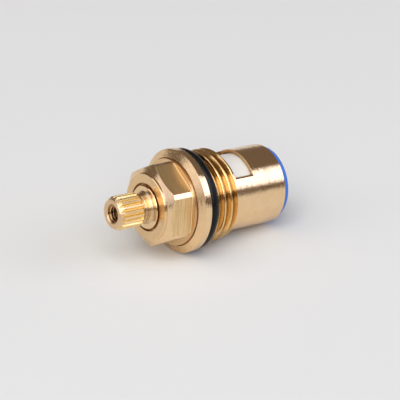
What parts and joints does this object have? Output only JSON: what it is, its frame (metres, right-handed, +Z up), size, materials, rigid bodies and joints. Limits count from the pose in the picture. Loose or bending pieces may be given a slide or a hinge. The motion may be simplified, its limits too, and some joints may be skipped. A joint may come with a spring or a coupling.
{
  "type": "ceramic disc tap cartridge",
  "caption": "Quarter-turn ceramic disc tap cartridge: threaded brass body with hexagon and outlet windows, splined spindle that turns a ceramic disc, and a blue end seal.",
  "frame": {"origin": "on the spindle's axis, in the plane of the seating face under the flange", "axes": "+X along the spindle towards its tip, two hexagon flats face +Y and -Y, +Z up as the part lies on its side"},
  "size_m": [0.0425, 0.0234, 0.0234],
  "materials": {
    "body_brass": "turned, satin",
    "spindle_brass": "turned, satin",
    "black_rubber": "satin",
    "white_plastic": "matte",
    "white_ceramic": "ground, satin",
    "blue_rubber": "satin"
  },
  "bodies": {
    "housing": {"body": "body_brass", "flange_o_ring": "black_rubber", "thrust_washer": "white_plastic", "fixed_disc": "white_ceramic", "end_seal": "blue_rubber", "seal_support_ring": "white_plastic"},
    "turning_spindle": {"spindle": "spindle_brass", "stem_o_ring_upper": "black_rubber", "stem_o_ring_lower": "black_rubber", "moving_disc": "white_ceramic"}
  },
  "joints": [
    {"name": "spindle_turn", "type": "hinge", "parent": "housing", "child": "turning_spindle", "pos_m": [0, 0, 0], "axis": [1, 0, 0], "range_deg": [0, 90]}
  ]
}
